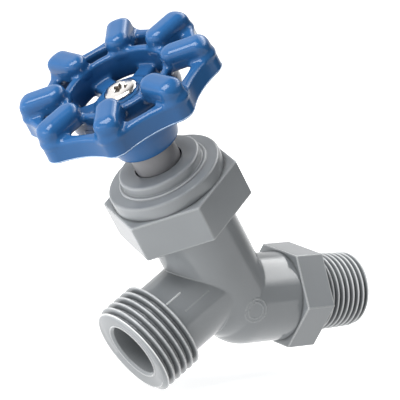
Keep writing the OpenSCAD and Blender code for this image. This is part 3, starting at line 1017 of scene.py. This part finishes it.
# place in metres, width, height and power in watts of each lamp
softboxes = {
    "stemSoftbox": ((-0.66, 0.0, 0.85), 0.7, 0.7, 15.0),
    "leftSoftbox": ((-1.0, -0.2, 0.22), 0.6, 0.35, 1.0),
    "leftRearSoftbox": ((-1.0, 0.3, 0.09), 0.6, 0.2, 1.3),
    "rightOverheadSoftbox": ((0.55, 0.0, 0.83), 1.3, 0.28, 4.5),
    "rearSoftbox": ((0.0, 0.95, 0.76), 1.6, 0.9, 0.15),
}
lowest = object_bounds()[0][2]

floorMesh = bpy.data.meshes.new("studioFloor")
floorForm = bmesh.new()
bmesh.ops.create_circle(floorForm, cap_ends=True, segments=96, radius=studio["floorRadius"])
floorForm.to_mesh(floorMesh)
floorForm.free()
floor = bpy.data.objects.new("studioFloor", floorMesh)
floor.location = (studio["middle"][0], studio["middle"][1], lowest)
bpy.context.scene.collection.objects.link(floor)

# white acrylic sheet on a light table: the camera sees it with its shadow, other rays meet an even glow
acrylic, acrylicShader, acrylicPlace = newMaterial("opalAcrylicSheet", {
    "roughness": studio["floorRoughness"], "ior": 1.49})
acrylicShader.inputs["Base Color"].default_value = toLinear(studio["floorColour"])
grained(acrylic, acrylicShader, acrylicPlace, studio["floorGrain"])
rays = addNode(acrylic, "ShaderNodeLightPath")
# the glow is stronger on the left of the table than on the right
leftToRight = addNode(acrylic, "ShaderNodeSeparateXYZ", {}, {0: acrylicPlace})
even = addNode(acrylic, "ShaderNodeMapRange", {}, {
    "Value": leftToRight.outputs["X"],
    "From Min": studio["glowAcross"][0], "From Max": studio["glowAcross"][1],
    "To Min": studio["floorGlow"][0], "To Max": studio["floorGlow"][1]})
# a lamp under the table makes a brighter pool in front of the outlet
fromPool = addNode(acrylic, "ShaderNodeVectorMath", {"operation": "DISTANCE"}, {
    0: acrylicPlace, 1: studio["poolAt"]})
poolGlow = addNode(acrylic, "ShaderNodeMapRange", {}, {
    "Value": fromPool.outputs["Value"], "From Min": studio["poolEdge"][0], "From Max": studio["poolEdge"][1],
    "To Min": studio["poolGlow"], "To Max": 0.0})
pooledGlow = addNode(acrylic, "ShaderNodeMath", {"operation": "MAXIMUM"}, {
    0: even.outputs["Result"], 1: poolGlow.outputs["Result"]})
glow = addNode(acrylic, "ShaderNodeMix", {"data_type": "FLOAT"}, {
    0: rays.outputs["Is Glossy Ray"], 2: pooledGlow.outputs[0], 3: studio["floorMirrored"]})
bounced = addNode(acrylic, "ShaderNodeEmission", {}, {"Color": (1, 1, 1, 1), "Strength": glow.outputs[0]})
# the lamps fade far from the object, and the backlight makes up for it
fromMiddle = addNode(acrylic, "ShaderNodeVectorMath", {"operation": "LENGTH"}, {0: acrylicPlace})
seenGlow = addNode(acrylic, "ShaderNodeMapRange", {}, {
    "Value": fromMiddle.outputs["Value"],
    "From Min": studio["fadesFrom"][0], "From Max": studio["fadesFrom"][1],
    "To Min": studio["floorSeen"], "To Max": 1.0})
backlight = addNode(acrylic, "ShaderNodeEmission", {}, {
    "Color": (1, 1, 1, 1), "Strength": seenGlow.outputs["Result"]})
lit = addNode(acrylic, "ShaderNodeAddShader", {}, {
    0: acrylicShader.outputs["BSDF"], 1: backlight.outputs["Emission"]})
either = addNode(acrylic, "ShaderNodeMixShader", {}, {
    0: rays.outputs["Is Camera Ray"], 1: bounced.outputs["Emission"], 2: lit.outputs["Shader"]})
link(acrylic, either.outputs["Shader"], acrylic.node_tree.nodes["Material Output"].inputs["Surface"])
floorMesh.materials.append(acrylic)

# a dark room with a white sweep behind and to the left, which the camera, mirrors and glass see
world = bpy.data.worlds.new("studioRoom")
bpy.context.scene.world = world
world.use_nodes = True
unlit = world.node_tree.nodes["Background"]
unlit.inputs["Strength"].default_value = 0
worldPlace = addNode(world, "ShaderNodeTexCoord").outputs["Generated"]
split = addNode(world, "ShaderNodeSeparateXYZ", {}, {0: worldPlace})
ramp = {}
for name, (axis, starts, ends, first, last) in roomRamps.items():
    ramp[name] = addNode(world, "ShaderNodeMapRange", {}, {
        "Value": split.outputs[axis], "From Min": starts, "From Max": ends,
        "To Min": first, "To Max": last}).outputs["Result"]
whiteSides = addNode(world, "ShaderNodeMath", {"operation": "MAXIMUM"}, {
    0: ramp["behind"], 1: ramp["leftSide"]})
sweep = addNode(world, "ShaderNodeMath", {"operation": "MULTIPLY"}, {
    0: whiteSides.outputs[0], 1: ramp["below"]})
room = addNode(world, "ShaderNodeMapRange", {}, {
    "Value": sweep.outputs[0], "From Min": 0.0, "From Max": 1.0,
    "To Min": studio["darkSide"], "To Max": studio["sweepMirrored"]})
# a white card overhead on the right, which only mirrors see
card = addNode(world, "ShaderNodeMath", {"operation": "MULTIPLY"}, {
    0: ramp["rightCard"], 1: ramp["cardFoot"]})
lighter = addNode(world, "ShaderNodeMath", {"operation": "MAXIMUM"}, {
    0: room.outputs[0], 1: card.outputs[0]})
worldRays = addNode(world, "ShaderNodeLightPath")
plainWhite = addNode(world, "ShaderNodeMath", {"operation": "MAXIMUM"}, {
    0: worldRays.outputs["Is Camera Ray"], 1: worldRays.outputs["Is Transmission Ray"]})
seen = addNode(world, "ShaderNodeMath", {"operation": "MAXIMUM"}, {
    0: plainWhite.outputs[0], 1: lighter.outputs[0]})
showsWhite = addNode(world, "ShaderNodeMath", {"operation": "MAXIMUM"}, {
    0: plainWhite.outputs[0], 1: worldRays.outputs["Is Glossy Ray"]})
white = addNode(world, "ShaderNodeBackground", {}, {"Color": (1, 1, 1, 1), "Strength": seen.outputs[0]})
skyMix = addNode(world, "ShaderNodeMixShader", {}, {
    0: showsWhite.outputs["Value"], 1: unlit.outputs["Background"], 2: white.outputs["Background"]})
link(world, skyMix.outputs["Shader"], world.node_tree.nodes["World Output"].inputs["Surface"])

for name, (at, width, height, watts) in softboxes.items():
    lamp = bpy.data.lights.new(name, "AREA")
    lamp.shape = "RECTANGLE"
    lamp.size = width
    lamp.size_y = height
    lamp.energy = watts
    softbox = bpy.data.objects.new(name, lamp)
    softbox.location = at
    softbox.rotation_euler = (Vector(at) - Vector(studio["middle"])).to_track_quat("Z", "Y").to_euler()
    bpy.context.scene.collection.objects.link(softbox)

# the camera stands where the photograph was taken, about 0.7 m away
view = {
    "place": (-466.4186, -547.4923, 171.9713),
    "right": (0.80648079, -0.58573496, 0.08064294),
    "up": (0.05684055, 0.21256604, 0.9754921),
    "back": (-0.58852178, -0.78213185, 0.20472392),
    "focalPixels": 2618.986,
    "imagePixels": 400,
    "sensorWidth": 36,
}
lens = bpy.data.cameras.new("photoCamera")
lens.sensor_width = view["sensorWidth"]
lens.sensor_fit = "HORIZONTAL"
lens.lens = view["focalPixels"] / view["imagePixels"] * view["sensorWidth"]
lens.clip_start = 0.01
lens.clip_end = 50
camera = bpy.data.objects.new("photoCamera", lens)
directions = Matrix((view["right"], view["up"], view["back"])).transposed().to_4x4()
camera.matrix_world = Matrix.Translation(Vector(view["place"]) * mm) @ directions
bpy.context.scene.collection.objects.link(camera)
bpy.context.scene.camera = camera

bpy.context.scene.view_settings.view_transform = "Standard"
print("studio ready")
